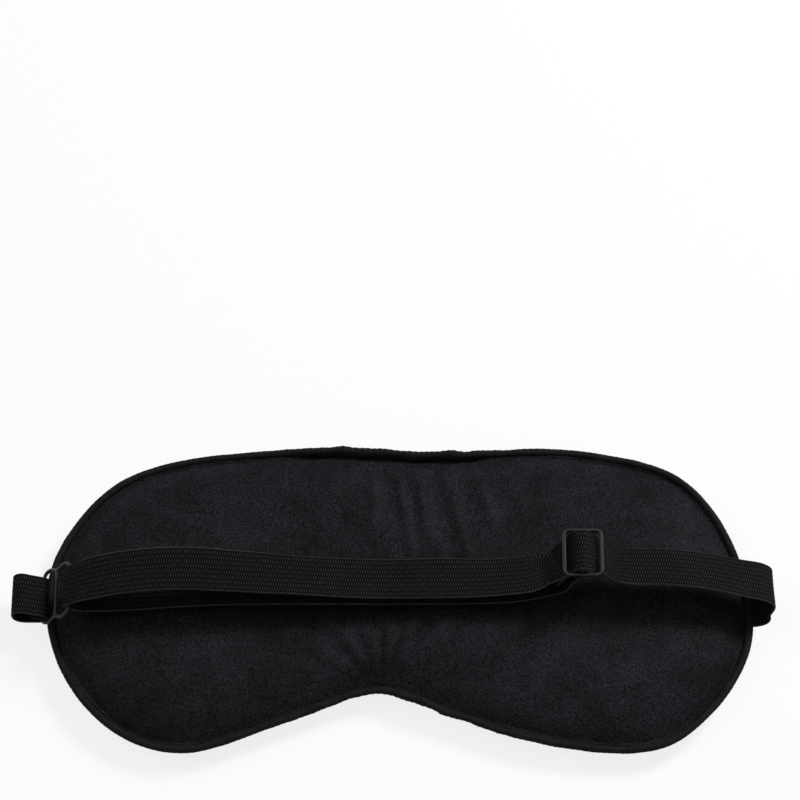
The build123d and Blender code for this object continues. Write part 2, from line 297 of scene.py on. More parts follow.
def blown_up(piece, points, pinned, spare):
    """Points of the closed pad after Blender's Cloth has filled it with a little pressure.

    It is simulated ten times as large, with the seam pinned. spare is the extra cloth at each
    point, as a share, which makes it gather.
    """
    scale, last_frame = 10, 20
    test = piece.copy()
    test.data = piece.data.copy()
    scene.collection.objects.link(test)
    test.data.vertices.foreach_set("co", (points * scale).astype(np.float32).ravel())
    seam = test.vertex_groups.new(name="seam")
    seam.add(np.flatnonzero(pinned).tolist(), 1.0, "REPLACE")
    extra = test.vertex_groups.new(name="extra")
    steps = 12
    level = np.clip(np.round(spare / spare.max() * steps), 0, steps).astype(int)
    for k in range(1, steps + 1):
        extra.add(np.flatnonzero(level == k).tolist(), k / steps, "REPLACE")
    cloth = test.modifiers.new("filling", "CLOTH")
    s = cloth.settings
    s.quality = 6
    s.mass = 0.3
    s.tension_stiffness = s.compression_stiffness = 20
    s.shear_stiffness = 8
    s.bending_stiffness = 0.6
    s.air_damping = 2
    s.vertex_group_mass = "seam"
    s.pin_stiffness = 1
    s.use_pressure = True
    s.uniform_pressure_force = 2.5
    s.vertex_group_shrink = "extra"
    s.shrink_min = 0.0
    s.shrink_max = -float(spare.max())
    s.effector_weights.gravity = 0
    cloth.collision_settings.use_collision = False
    cloth.point_cache.frame_start, cloth.point_cache.frame_end = 1, last_frame
    for number in range(1, last_frame + 1):
        scene.frame_set(number)
    settled = test.evaluated_get(bpy.context.evaluated_depsgraph_get())
    filled = np.zeros(len(points) * 3, np.float32)
    settled.to_mesh().vertices.foreach_get("co", filled)
    settled.to_mesh_clear()
    scene.frame_set(1)
    bpy.data.objects.remove(test)
    return filled.reshape(-1, 3).astype(float) / scale


def make_pad():
    """The two panels with their filling, one closed padded form cut at the seam into two pieces."""
    columns, rows = 196, 96
    plan = pad_plan(columns, rows)
    top = np.column_stack([plan, pad_heights(plan)])
    under = np.column_stack([plan, pad_underside(plan)])
    index = np.arange(columns * rows).reshape(columns, rows)
    rim = np.zeros((columns, rows), bool)
    rim[[0, -1], :] = True
    rim[:, [0, -1]] = True
    rim = rim.ravel()
    # The underside shares the rim's points with the face side.
    under_index = np.where(rim, index.ravel(), 0)
    under_index[~rim] = columns * rows + np.arange((~rim).sum())
    points = np.vstack([top, under[~rim]])
    top_faces = grid_faces(columns, rows)
    under_faces = under_index[top_faces][:, ::-1]
    whole = new_piece("pad_form", points, np.vstack([top_faces, under_faces]))
    x, y = points[:, 0], points[:, 1]
    bridge = np.exp(-(((x - 6 * mm) / (26 * mm)) ** 2))
    near_edge = np.exp(-edge_distance(points[:, :2], pad_edge) / (9 * mm))
    spare = 0.02 + 0.06 * bridge + 0.03 * near_edge
    pinned = np.zeros(len(points), bool)
    pinned[: columns * rows] = rim
    moved = blown_up(whole, points, pinned, spare) - points
    far = np.linalg.norm(moved, axis=1)
    # No point moves farther than this.
    cap = 1.6 * mm
    moved *= (cap * np.tanh(far / cap) / np.maximum(far, 1e-9))[:, None]
    points = points + moved
    # The gathers are sewn in, so they come after the filling.
    face = slice(0, columns * rows)
    inside = np.clip(edge_distance(plan, pad_edge) / (8 * mm), 0, 1)
    points[face, 2] += gathers(plan[:, 0], plan[:, 1]) * inside
    points[:, 2] = np.maximum(points[:, 2], 0.0)
    bpy.data.objects.remove(whole)
    face_side = new_piece("face_side_panel", points[face], top_faces, points[face, :2])
    used = np.unique(under_faces)
    renumber = np.zeros(len(points), int)
    renumber[used] = np.arange(len(used))
    outer_side = new_piece(
        "outer_side_panel", points[used], renumber[under_faces], points[used, :2]
    )
    for piece, place in ((face_side, plan), (outer_side, points[used, :2])):
        # How far each point is from the seam, in metres, for the painted shade that darkens the
        # crease along it.
        from_seam = piece.data.attributes.new("from_seam", "FLOAT", "POINT")
        from_seam.data.foreach_set("value", edge_distance(place, pad_edge).astype(np.float32))
        smooth = piece.modifiers.new("finer", "SUBSURF")
        smooth.levels = smooth.render_levels = 1
    return face_side, outer_side


def make_piping():
    """The piping: a tube round the edge whose radius and height pucker where the cloth gathers.

    At the brow's middle the gathered seam rolls up, so the tube is thicker and taller there.
    """
    count, around = 1440, 14
    edge = outline(count)
    inside = inward(edge)
    edge_length = 640 * mm
    run = np.arange(count) / count * edge_length
    x = edge[:, 0]
    bridge = np.exp(-(((x - 2 * mm) / (30 * mm)) ** 2))
    pucker = 0.25 + 0.9 * bridge
    wave = smooth_noise(run, run * 0, 2.6 * mm, 11)
    slow = smooth_noise(run, run * 0, 9 * mm, 12)
    radius = piping_r * (1 + 0.15 * pucker * wave)
    centre_in = piping_r * 1.02 + 0.38 * mm * pucker * slow
    height = seam_z + 0.42 * mm * pucker * smooth_noise(run, run * 0, 5 * mm, 13)
    rolled_middle, rolled_reach, rolled_fade = -4 * mm, 31 * mm, 9 * mm
    rolled = np.clip((rolled_reach - np.abs(x - rolled_middle)) / rolled_fade, 0, 1)
    rolled *= edge[:, 1] > 0
    taller = 1.5 * mm * rolled[:, None]
    centre_in += 0.5 * mm * rolled
    radius *= 1 + 0.25 * rolled
    turn = np.linspace(0, 2 * np.pi, around, endpoint=False)
    # Small slanting creases of the bias strip run round the tube.
    creases = run / (2.1 * mm) * 2 * np.pi + 2 * slow
    crease = np.sin(creases[:, None] + 1.3 * turn[None, :])
    r = radius[:, None] * (1 + 0.035 * crease * (0.4 + pucker[:, None]))
    out = centre_in[:, None] - r * np.cos(turn)[None, :]
    plan = edge[:, None, :] + inside[:, None, :] * out[:, :, None]
    z = height[:, None] + taller / 2 + (r + taller / 2) * np.sin(turn)[None, :]
    points = np.dstack([plan, z]).reshape(-1, 3)
    faces = grid_faces(count, around, wrap_rows=True, wrap_columns=True)
    cloth_r = 10 / 9 * mm
    uv = np.stack(np.meshgrid(run, turn * cloth_r, indexing="ij"), axis=-1)
    return new_piece("edge_piping", points, faces, uv.reshape(-1, 2))


# ---- The elastic ----


def path_frame(path, roll):
    """Directions along, across and up from the elastic at each point.

    Across is level before roll turns it about the elastic's length.
    """
    along = np.gradient(path, axis=0)
    along /= np.linalg.norm(along, axis=1)[:, None]
    level = np.array([0.0, 1.0, 0.0]) - along * along[:, 1:2]
    level /= np.linalg.norm(level, axis=1)[:, None]
    upright = np.cross(along, level)
    c, s = np.cos(roll)[:, None], np.sin(roll)[:, None]
    return along, level * c + upright * s, upright * c - level * s


def elastic(name, path, directions, run, widths=strap_width, cut_first=False, cut_last=False):
    """A length of ribbed elastic along a path.

    Its section is a flat band with rounded selvages, whose two faces rise and fall as nine
    lengthwise ribs. run is each point's place along the whole strip. A cut end is closed and
    pressed thinner.
    """
    _, sideways, up = directions
    side = 52
    # The points across stand closer towards the selvages.
    crowding = np.pi / 2 * 0.86
    across = np.sin(np.linspace(-1, 1, side) * crowding) / math.sin(crowding)
    body = np.sqrt(np.clip(1 - np.abs(across) ** 14, 0, 1))
    selvage = np.exp(-(((np.abs(across) - 0.955) / 0.03) ** 2))
    rib = np.abs(np.cos(across * np.pi * strap_ribs / 2)) ** 0.8
    half = strap_t / 2 * (0.70 + 0.24 * rib + 0.30 * selvage) * body
    around_across = np.concatenate([across, across[-2:0:-1]])
    around_up = np.concatenate([half, -half[-2:0:-1]])
    press = np.ones(len(path))
    for is_cut, end in ((cut_first, run[0]), (cut_last, run[-1])):
        if is_cut:
            press *= 1 - 0.35 * np.exp(-(((run - end) / (0.6 * mm)) ** 2))
    # The selvages wander a little, as the elastic does after use.
    half_widths = widths / 2 * (1 + 0.012 * smooth_noise(run, run * 0, 9 * mm, 21))
    points = (
        path[:, None, :]
        + sideways[:, None, :] * (around_across[None, :] * half_widths[:, None])[:, :, None]
        + up[:, None, :] * (around_up[None, :] * press[:, None])[:, :, None]
    )
    rows, columns = len(path), len(around_across)
    uv = np.stack(np.broadcast_arrays(run[:, None], around_across * strap_width / 2), axis=-1)
    faces = grid_faces(rows, columns, wrap_columns=True)[:, ::-1].tolist()
    long_faces = len(faces)
    opposite = [(columns - k) % columns for k in range(side)]
    for is_cut, start, step in ((cut_first, 0, 1), (cut_last, (rows - 1) * columns, -1)):
        for k in range(side - 1) if is_cut else ():
            # At a selvage two corners are one point.
            corners = list(dict.fromkeys([k, k + 1, opposite[k + 1], opposite[k]]))
            faces.append([start + corner for corner in corners][::step])
    piece = new_piece(name, points.reshape(-1, 3), faces, uv.reshape(-1, 2))
    piece.data.polygons.foreach_set("use_smooth", np.arange(len(faces)) < long_faces)
    return piece


def arc(centre, radius, start, turn, count, y):
    """Points x, y, z, roll round a centre in the X-Z plane, from start by turn, in degrees."""
    angle = np.radians(start + turn * np.linspace(0, 1, count))
    return [
        (centre[0] + radius * math.cos(a), y, centre[1] + radius * math.sin(a), 0.0) for a in angle
    ]


joints = {joint["name"]: joint for joint in frame["record"]["behaviour"]["joints"]}
ring_x, ring_y, ring_z = (value / mm for value in joints["ring_swing"]["pos_m"])
slider_x, slider_y, slider_z = (value / mm for value in joints["slider_tilt"]["pos_m"])
ring_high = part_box("ring")[1]

# From here to the ring, lengths are in millimetres and angles in degrees unless they say otherwise.
wire_r = 0.55
far_bar = (ring_high.x / mm - wire_r, ring_high.z / mm - wire_r)
ring_tilt = math.atan2(far_bar[1] - ring_z, far_bar[0] - ring_x)
half_ring = math.dist(far_bar, (ring_x, ring_z)) / 2
# How far the elastic's middle is from the middle of what it goes round, over and under.
bar_wrap_r, loop_r, over_bar, under_bar = 1.10, 1.18, 2.18, 1.30
slider_half = 6.0
edge_x, right_x = -half_width / mm, half_width / mm
width = 2 * right_x
top, seam = pad_top / mm, seam_z / mm

# The head strap is one strip. Its stations are x, y, z and roll. At the named ones a piece ends or
# the strip is squeezed.
above_right_loop = (right_x - 2.6, 1.2, top + 4.8, 7)
squeezed_right = (slider_x + slider_half + 0.2, slider_y - 0.6, slider_z - 4.4, 14)
squeezed_left = (slider_x - slider_half + 0.1, slider_y - 1.9, slider_z - 4.8, 12)
left_of_slider = (slider_x - 14.1, 2.5, top + 5.9, 10)
right_of_ring_upper = (-0.364 * width, 0.7, top + 11.9, -11)
right_of_ring_lower = (-0.388 * width, -1.0, top + 1.1, 0)
right_edge_to_ring = [
    (right_x - 1.2, -2.5, seam - 0.1, 0),
    (right_x + 1.0, -2.4, seam, 0),
    (right_x + 3.4, -1.9, seam + 0.8, 0),
    (right_x + 4.2, -1.1, seam + 2.7, 0),
    (right_x + 5.2, -0.4, seam + 5.3, 0),
    (right_x + 5.3, 0.2, seam + 7.9, 3),
    (right_x + 3.1, 0.7, seam + 10.1, 5),
    above_right_loop,
    (right_x - 9.0, 2.0, top + 6.2, 9),
    (right_x - 16.0, 2.6, top + 7.6, 10),
    (0.388 * width, 3.0, top + 8.6, 9),
    (0.354 * width, 3.3, top + 8.6, 9),
    (0.321 * width, 3.6, top + 8.2, 12),
    squeezed_right,
    (slider_x + slider_half - 2.1, slider_y, slider_z - under_bar - 0.5, 0),
    (slider_x + 2.2, slider_y, slider_z + over_bar - 1.0, 0),
    (slider_x + 0.9, slider_y, slider_z + over_bar, 0),
    (slider_x - 0.9, slider_y, slider_z + over_bar, 0),
    (slider_x - 2.2, slider_y, slider_z + over_bar - 1.0, 0),
    (slider_x - slider_half + 2.1, slider_y, slider_z - under_bar - 0.5, 0),
    squeezed_left,
    (slider_x - slider_half - 4.5, slider_y - 2.2, slider_z - 6.7, 16),
    left_of_slider,
    (0.160 * width, 1.9, top + 5.2, 8),
    (0.121 * width, 1.5, top + 4.8, 6),
    (0.058 * width, 1.2, top + 5.2, 0),
    (-0.019 * width, 1.2, top + 4.6, 1),
    (-0.102 * width, 1.2, top + 6.0, 1),
    (-0.175 * width, 1.3, top + 8.1, 0),
    (-0.243 * width, 1.3, top + 10.4, -9),
    (-0.306 * width, 1.1, top + 12.4, -11),
    right_of_ring_upper,
    (edge_x + 17.0, -0.3, top + 10.2, -8),
    (edge_x + 11.6, -0.9, top + 8.4, -4),
]


def straight(station, angle, reaches):
    """Stations at these distances from one, along a line at this angle in the X-Z plane."""
    x, y, z, _ = station
    run, rise = math.cos(math.radians(angle)), math.sin(math.radians(angle))
    return [(x + reach * run, y, z + reach * rise, 0) for reach in reaches]


round_far_bar = arc(far_bar, bar_wrap_r, 128, 112, 6, ring_y)
leg_up = straight(round_far_bar[0], 38, (4.0, 1.6))
leg_down = straight(round_far_bar[-1], -30, (1.6, 4.0))
# Under itself the strip goes back to the slider's centre bar, round it, and down to its sewn end.
loop_leg = math.radians(238)
round_middle_bar = arc((slider_x, slider_z), loop_r, -32, 180, 7, slider_y)


def along_leg(point, reach, closer):
    """A station down a leg of the sewn loop, moved square to it by closer towards the other leg.

    The two plies also drift a little towards -Y on their way down.
    """
    return (
        point[0] + reach * math.cos(loop_leg) - closer * math.sin(loop_leg),
        slider_y - 0.011 * reach**2,
        point[2] + reach * math.sin(loop_leg) + closer * math.cos(loop_leg),
        0,
    )


leg_foot = along_leg(round_middle_bar[0], 11.5, 0.0)
# Each ply comes this far towards the other where the stitches close the loop.
pinch = loop_r - 0.52
ring_to_end = [
    (edge_x + 13.0, -1.3, top + 1.1, 0),
    right_of_ring_lower,
    (-0.291 * width, 0.3, top + 1.3, 0),
    (-0.175 * width, 0.8, top + 1.4, 0),
    (-0.049 * width, 0.8, top + 1.4, 0),
    (0.073 * width, 0.8, top + 1.4, 0),
    (0.146 * width, 1.3, top + 1.4, 0),
    (slider_x - 16.6, 2.0, top + 1.4, 0),
    (slider_x - 10.6, 3.3, top + 1.4, 0),
    leg_foot,
    along_leg(round_middle_bar[0], 8.0, 0.0),
    along_leg(round_middle_bar[0], 4.0, 0.0),
]
sewn_end = [
    along_leg(round_middle_bar[-1], 2.0, -0.3 * pinch),
    along_leg(round_middle_bar[-1], 4.5, -1.3 * pinch),
    along_leg(round_middle_bar[-1], 7.0, -1.95 * pinch),
    along_leg(round_middle_bar[-1], 11.0, -2.0 * pinch),
]



def length_along(path):
    """How far along a path each of its points is."""
    return np.concatenate([[0], np.cumsum(np.linalg.norm(np.diff(path, axis=0), axis=1))])


strip_stations = right_edge_to_ring + leg_up + round_far_bar + leg_down
strip_stations += ring_to_end + round_middle_bar + sewn_end
strip_steps = 940
strip = cubic(strip_stations, strip_steps)
strip_path = strip[:, :3] * mm
strip_run = length_along(strip_path)
strip_directions = path_frame(strip_path, np.radians(strip[:, 3]))


def nearest(station):
    """The strip's sample nearest to a station."""
    gaps = np.linalg.norm(strip_path - np.array(station[:3]) * mm, axis=1)
    return int(gaps.argmin())


# The strip is narrower for a few millimetres where it comes out under the slider's two sides.
squeeze, squeeze_reach = 0.2, 3.4 * mm
strip_widths = np.full(len(strip_run), strap_width)
for station in (squeezed_right, squeezed_left):
    away = strip_run - strip_run[nearest(station)]
    strip_widths *= 1 - squeeze * np.exp(-((away / squeeze_reach) ** 2))


def strip_piece(name, first, last, **ends):
    """The stretch of the strip between two samples, as a piece."""
    part = slice(first, last + 1)
    directions = tuple(direction[part] for direction in strip_directions)
    return elastic(
        name, strip_path[part], directions, strip_run[part], strip_widths[part], **ends
    )


cut_loop = nearest(above_right_loop)
cut_pass_right = nearest(squeezed_right)
cut_pass_left = nearest(left_of_slider)
cut_ring_upper = nearest(right_of_ring_upper)
cut_ring_lower = nearest(right_of_ring_lower)
cut_end_loop = nearest(leg_foot)

right_loop = strip_piece("strap_right_loop_band", 0, cut_loop, cut_first=True)
right_run = strip_piece("strap_right_run_band", cut_loop, cut_pass_right)
slider_pass = strip_piece("strap_slider_pass_band", cut_pass_right, cut_pass_left)
upper_run = strip_piece("strap_upper_run_band", cut_pass_left, cut_ring_upper)
ring_turn = strip_piece("strap_ring_turn_band", cut_ring_upper, cut_ring_lower)
return_run = strip_piece("strap_return_run_band", cut_ring_lower, cut_end_loop)
end_loop = strip_piece("strap_end_loop_band", cut_end_loop, len(strip_path) - 1, cut_last=True)

# The tab is a short piece of the same elastic, sewn in at the left edge and folded round the ring.
leg_rise = 24
tab_turn = arc((ring_x, ring_z), bar_wrap_r, 90 - leg_rise, -180, 7, ring_y)
tab_stations = [
    (edge_x + 1.2, ring_y, seam, 0),
    (edge_x - 1.0, ring_y, seam, 0),
    (edge_x - 4.0, ring_y, seam - 0.1, 0),
    (edge_x - 7.0, ring_y, seam, 0),
    (edge_x - 9.1, ring_y, seam + 1.2, 0),
    (edge_x - 9.8, ring_y, seam + 3.6, 0),
    (edge_x - 9.3, ring_y, seam + 5.9, 0),
    (edge_x - 7.6, ring_y, seam + 6.75, 0),
    (edge_x - 5.2, ring_y, seam + 5.9, 0),
]
tab_stations += tab_turn + straight(tab_turn[-1], 180 - leg_rise, (1.5, 3.0))
tab_steps = 110
tab = cubic(tab_stations, tab_steps)
tab_path = tab[:, :3] * mm
# The metre added sets the tab's stitches apart from the strap's.
tab_run = length_along(tab_path) + 1.0
tab_directions = path_frame(tab_path, tab[:, 3])
ring_tab = elastic(
    "ring_tab_band", tab_path, tab_directions, tab_run, cut_first=True, cut_last=True
)


def wire(path, radius, closed=False):
    """Points in metres and faces of a round wire along a path in the ring's tilted plane.

    The path's points are along the ring and across it, and the wire's circle stands square to it,
    between the plane and the plane's normal.
    """
    along_ring = np.array([math.cos(ring_tilt), 0, math.sin(ring_tilt)])
    across_ring = np.array([0, 1, 0])
    normal = np.array([-math.sin(ring_tilt), 0, math.cos(ring_tilt)])
    start = np.array([ring_x, ring_y, ring_z])
    centre = start + path[:, :1] * along_ring + path[:, 1:2] * across_ring
    if closed:
        run = np.roll(centre, -1, axis=0) - np.roll(centre, 1, axis=0)
    else:
        run = np.gradient(centre, axis=0)
    run /= np.linalg.norm(run, axis=1)[:, None]
    side = np.cross(run, normal)
    around = 16
    turn = np.linspace(0, 2 * np.pi, around, endpoint=False)[:, None]
    section = side[:, None, :] * np.cos(turn) + normal * np.sin(turn)
    points = centre[:, None, :] + section * np.broadcast_to(radius, len(path))[:, None, None]
    faces = grid_faces(len(path), around, wrap_rows=closed, wrap_columns=True)[:, ::-1].tolist()
    if not closed:
        last = (len(path) - 1) * around
        faces += [list(range(around)), list(range(last, last + around))[::-1]]
    return points.reshape(-1, 3) * mm, faces


def make_ring():
    """The bent-wire ring: a closed outline whose two wings bulge past the centre bar's ends.

    The bar thickens a little where it meets the outline.
    """
    waist = 7.2
    # Points of a quarter, along the ring and across it: its others are mirrored from them.
    quarter = [
        (0.0, 3.4), (0.0, 6.2), (0.55, 7.45), (1.7, 8.1), (3.2, 8.15), (4.7, 7.6),
        (half_ring, waist),
    ]
    half = quarter + [(2 * half_ring - along, across) for along, across in quarter[-2::-1]]
    other_half = [(along, -across) for along, across in half[::-1]]
    round_path = cubic([(0.0, 0.0), *half, (2 * half_ring, 0.0), *other_half], 260, closed=True)
    round_points, round_faces = wire(round_path, wire_r, closed=True)
    reach = np.linspace(-waist, waist, 60)
    bar_r = 0.52 + 0.10 * np.abs(reach / waist) ** 6
    bar_points, bar_faces = wire(np.column_stack([np.full_like(reach, half_ring), reach]), bar_r)
    bar_faces = [[k + len(round_points) for k in face] for face in bar_faces]
    points = np.vstack([round_points, bar_points])
    return new_piece("bent_wire_ring", points, round_faces + bar_faces)


face_side, outer_side = make_pad()
ring_wire = make_ring()
piping = make_piping()


# ---- Materials ----


class Finish:
    """A material's nodes, built from the principled shader outwards."""

    def __init__(self, name, colour, roughness, **sockets):
        self.material = bpy.data.materials.new(name)
        self.material.use_nodes = True
        self.tree = self.material.node_tree
        self.shader = self.tree.nodes["Principled BSDF"]
        self.colour = colour
        self.shader.inputs["Roughness"].default_value = roughness
        for socket, value in sockets.items():
            self.shader.inputs[socket.replace("_", " ")].default_value = value

    def node(self, kind, sockets=None, **settings):
        """A node of this kind. A socket's value is a number, a tuple or another node's output."""
        made = self.tree.nodes.new("ShaderNode" + kind)
        for key, value in settings.items():
            setattr(made, key, value)
        for key, value in (sockets or {}).items():
            if isinstance(value, bpy.types.NodeSocket):
                self.tree.links.new(value, made.inputs[key])
            else:
                made.inputs[key].default_value = value
        return made

    def maths(self, operation, *values):
        """One arithmetic step on numbers or outputs."""
        return self.node("Math", dict(enumerate(values)), operation=operation).outputs[0]

    def remap(self, value, low, high, to_low, to_high):
        """value stretched from low..high to to_low..to_high, and held there outside."""
        sockets = {0: value, 1: low, 2: high, 3: to_low, 4: to_high}
        return self.node("MapRange", sockets).outputs[0]

    def place(self):
        """Where a surface point is on the object, in metres."""
        return self.node("TexCoord").outputs["Object"]

    def strip_place(self):
        """How far along and how far across its strip a point is, in metres."""
        split = self.node("SeparateXYZ", {0: self.node("UVMap", uv_map="weave").outputs[0]})
        return split.outputs[0], split.outputs[1]

    def noise(self, at, cell, detail=2.0, roughness=0.5):
        """Soft random values from 0 to 1 with hills about one cell across."""
        sockets = {"Vector": at, "Scale": 1 / cell, "Detail": detail, "Roughness": roughness}
        return self.node("TexNoise", sockets).outputs[0]

    def lint(self, at, cell, size, share):
        """1 on small scattered specks, 0 elsewhere. share of the cells have one."""
        specks = self.node("TexVoronoi", {"Vector": at, "Scale": 1 / cell})
        near = self.remap(specks.outputs["Distance"], size / cell * 0.5, size / cell, 1.0, 0.0)
        pick = self.node("SeparateColor", {0: specks.outputs["Color"]}).outputs[0]
        return self.maths("MULTIPLY", near, self.maths("LESS_THAN", pick, share))

    def shade(self, factor, lint=None):
        """Sets the base colour to the finish's colour times factor, with pale lint over it."""
        black, full, pale = (0, 0, 0, 1), (*self.colour, 1), (0.07, 0.07, 0.07, 1)
        tint = self.node(
            "Mix", {0: factor, 6: black, 7: full}, data_type="RGBA", clamp_factor=False
        ).outputs[2]
        if lint is not None:
            tint = self.node("Mix", {0: lint, 6: tint, 7: pale}, data_type="RGBA").outputs[2]
        self.link(tint, "Base Color")

    def link(self, value, socket):
        """Feeds an output to one of the shader's sockets."""
        self.tree.links.new(value, self.shader.inputs[socket])

    def bump(self, height, distance):
        """Relief of this height, in metres, from values 0 to 1."""
        made = self.node("Bump", {"Height": height, "Distance": distance, "Strength": 1.0})
        self.link(made.outputs[0], "Normal")


def satin(name, colour, depth):
    """Fine twill-like satin: slanted threads, soft crush marks, cloudy colour and a little lint.

    It has painted shade, darkening the crease along the seam.
    """
    finish = Finish(name, colour, 0.55, Sheen_Weight=0.0, Specular_IOR_Level=0.015)
    at = finish.place()
    cloud = finish.noise(at, 26 * mm, 3.0, 0.55)
    blotch = finish.noise(at, 7 * mm, 4.0, 0.6)
    grain = finish.noise(at, 0.60 * mm, 2.0, 0.7)
    twill = {"Vector": at, "Scale": 1 / (2.4 * mm)}
    twill |= {"Distortion": 1.2, "Detail": 1.0, "Detail Scale": 3.0}
    threads = finish.node("TexWave", twill, bands_direction="DIAGONAL").outputs["Fac"]
    factor = finish.remap(cloud, 0.3, 0.7, 0.78, 1.24)
    factor = finish.maths("MULTIPLY", factor, finish.remap(blotch, 0.25, 0.75, 0.68, 1.34))
    factor = finish.maths("MULTIPLY", factor, finish.remap(grain, 0.28, 0.72, 0.10, 2.05))
    # Painted shade: the colour darkens to a quarter within about a millimetre of the seam, where
    # the crease is shaded.
    from_seam = finish.node("Attribute", attribute_name="from_seam").outputs["Fac"]
    crease = finish.remap(from_seam, 0.55 * mm, 1.0 * mm, 0.25, 1.0)
    factor = finish.maths("MULTIPLY", factor, crease)
    finish.shade(factor, finish.lint(at, 6.5 * mm, 0.22 * mm, 0.30))
    finish.link(finish.remap(blotch, 0.2, 0.8, 0.46, 0.64), "Roughness")
    crush = finish.noise(at, 2.6 * mm, 3.0, 0.55)
    height = finish.maths("MULTIPLY_ADD", crush, 6.0, grain)
    height = finish.maths("MULTIPLY_ADD", threads, 0.15, height)
    finish.bump(height, depth)
    return finish.material


def knit_elastic(name, colour):
    """Braided elastic: nine ribs, each a row of V stitches, with painted shade in the grooves and a
    painted highlight along the selvages.
    """
    finish = Finish(name, colour, 0.62, Sheen_Weight=0.0, Specular_IOR_Level=0.015)
    along, across = finish.strip_place()
    at = finish.place()
    # The whole number added keeps the count of ribs above zero on both sides of the middle.
    ribs = finish.maths("MULTIPLY_ADD", across, strap_ribs / strap_width, 100.0)
    in_rib = finish.maths("FRACT", ribs)
    from_middle = finish.maths("ABSOLUTE", finish.maths("SUBTRACT", in_rib, 0.5))
    groove = finish.maths("MULTIPLY", from_middle, 2.0)
    # Each rib's stitches lean both ways from its middle, and start half a stitch after the last's.
    stitch = 0.72 * mm
    lean = finish.maths("MULTIPLY_ADD", from_middle, 0.9, finish.maths("DIVIDE", along, stitch))
    lean = finish.maths("MULTIPLY_ADD", finish.maths("FLOOR", ribs), 0.5, lean)
    wave = finish.maths("SINE", finish.maths("MULTIPLY", lean, 2 * math.pi))
    # Painted shade: the colour darkens to three tenths towards the grooves between the ribs; the
    # same values also shape the bump.
    groove_shade_and_relief = finish.remap(groove, 0.45, 0.95, 1.0, 0.30)
    cover = finish.maths("MULTIPLY", groove_shade_and_relief, finish.remap(wave, -0.35, 0.45, 0.0, 1.0))
    outwards = finish.maths("ABSOLUTE", across)
    # Painted highlight: the outermost sliver of each rounded selvage is made pale, standing in for
    # the light it catches.
    edge = finish.remap(outwards, 0.466 * strap_width, 0.480 * strap_width, 0.0, 1.0)
    fuzz = finish.noise(at, 0.5 * mm, 2.0, 0.7)
    patch = finish.noise(at, 12 * mm, 2.0, 0.5)
    factor = finish.remap(cover, 0.0, 1.0, 0.04, 2.9)
    factor = finish.maths("MULTIPLY_ADD", edge, 2.6, factor)
    factor = finish.maths("MULTIPLY", factor, finish.remap(fuzz, 0.25, 0.75, 0.60, 1.45))
    factor = finish.maths("MULTIPLY", factor, finish.remap(patch, 0.25, 0.75, 0.88, 1.12))
    finish.shade(factor, finish.lint(at, 6 * mm, 0.26 * mm, 0.22))
    height = finish.maths("MULTIPLY_ADD", fuzz, 0.35, cover)
    finish.bump(height, 0.16 * mm)
    return finish.material


def piping_cloth(name, colour):
    """The bias strip over the piping: fine slanted creases and a slight shine along its crown."""
    finish = Finish(name, colour, 0.5, Sheen_Weight=0.0, Specular_IOR_Level=0.02)
    at = finish.place()
    along, around = finish.strip_place()
    slant = finish.maths("MULTIPLY_ADD", around, 0.8, along)
    crease = finish.maths("SINE", finish.maths("MULTIPLY", slant, 2 * math.pi / (0.9 * mm)))
    grain = finish.noise(at, 0.5 * mm, 2.0, 0.7)
    patch = finish.noise(at, 5 * mm, 3.0, 0.6)
    factor = finish.remap(patch, 0.25, 0.75, 0.78, 1.25)
    factor = finish.maths("MULTIPLY", factor, finish.remap(grain, 0.2, 0.8, 0.72, 1.30))
    finish.shade(factor, finish.lint(at, 6 * mm, 0.26 * mm, 0.2))
    height = finish.maths("MULTIPLY_ADD", crease, 0.25, finish.maths("MULTIPLY", grain, 1.2))
    height = finish.maths("MULTIPLY_ADD", patch, 3.0, height)
    finish.bump(height, 0.10 * mm)
    return finish.material


def coating(name, colour, roughness, pebble):
    """A black coat over wire or moulded plastic: faint orange peel, dull patches and worn spots."""
    finish = Finish(name, colour, roughness, Specular_IOR_Level=0.22)
    at = finish.place()
    patch = finish.noise(at, 1.8 * mm, 3.0, 0.6)
    fine = finish.noise(at, pebble, 2.0, 0.6)
    rubbed = finish.remap(patch, 0.60, 0.74, 0.0, 1.0)
    peel = finish.remap(fine, 0.2, 0.8, 0.85, 1.15)
    finish.shade(finish.maths("MULTIPLY_ADD", rubbed, 0.5, peel))
    dull = finish.remap(patch, 0.25, 0.75, roughness - 0.08, roughness + 0.12)
    finish.link(dull, "Roughness")
    finish.bump(finish.maths("MULTIPLY_ADD", patch, 1.5, fine), 0.025 * mm)
    return finish.material


def thread_finish(name, colour):
    """Twisted sewing thread: slanted ply marks along it."""
    finish = Finish(name, colour, 0.5, Sheen_Weight=0.05, Specular_IOR_Level=0.2)
    at = finish.place()
    plies = {"Vector": at, "Scale": 1 / (1.2 * mm), "Distortion": 2.0}
    twist = finish.node("TexWave", plies, bands_direction="DIAGONAL").outputs["Fac"]
    finish.shade(finish.remap(twist, 0.0, 1.0, 0.7, 1.3))
    finish.bump(twist, 0.03 * mm)
    return finish.material


satin_black, satin_relief = (0.0112, 0.0112, 0.0134), 0.040 * mm
lining = satin("lining_satin_cloth", satin_black, satin_relief)
outer = satin("outer_satin_cloth", satin_black, satin_relief)
band = knit_elastic("braided_elastic", (0.0088, 0.0090, 0.0092))
edging = piping_cloth("piping_cloth", (0.0122, 0.0122, 0.0136))
coated_wire = coating("coated_wire", (0.007, 0.007, 0.0076), 0.38, 0.35 * mm)
plastic = coating("slider_plastic", (0.0060, 0.0060, 0.0066), 0.45, 0.30 * mm)
thread = thread_finish("black_thread", (0.012, 0.012, 0.013))


def dress(piece, material):
    """Gives a piece this one material."""
    piece.data.materials.clear()
    piece.data.materials.append(material)


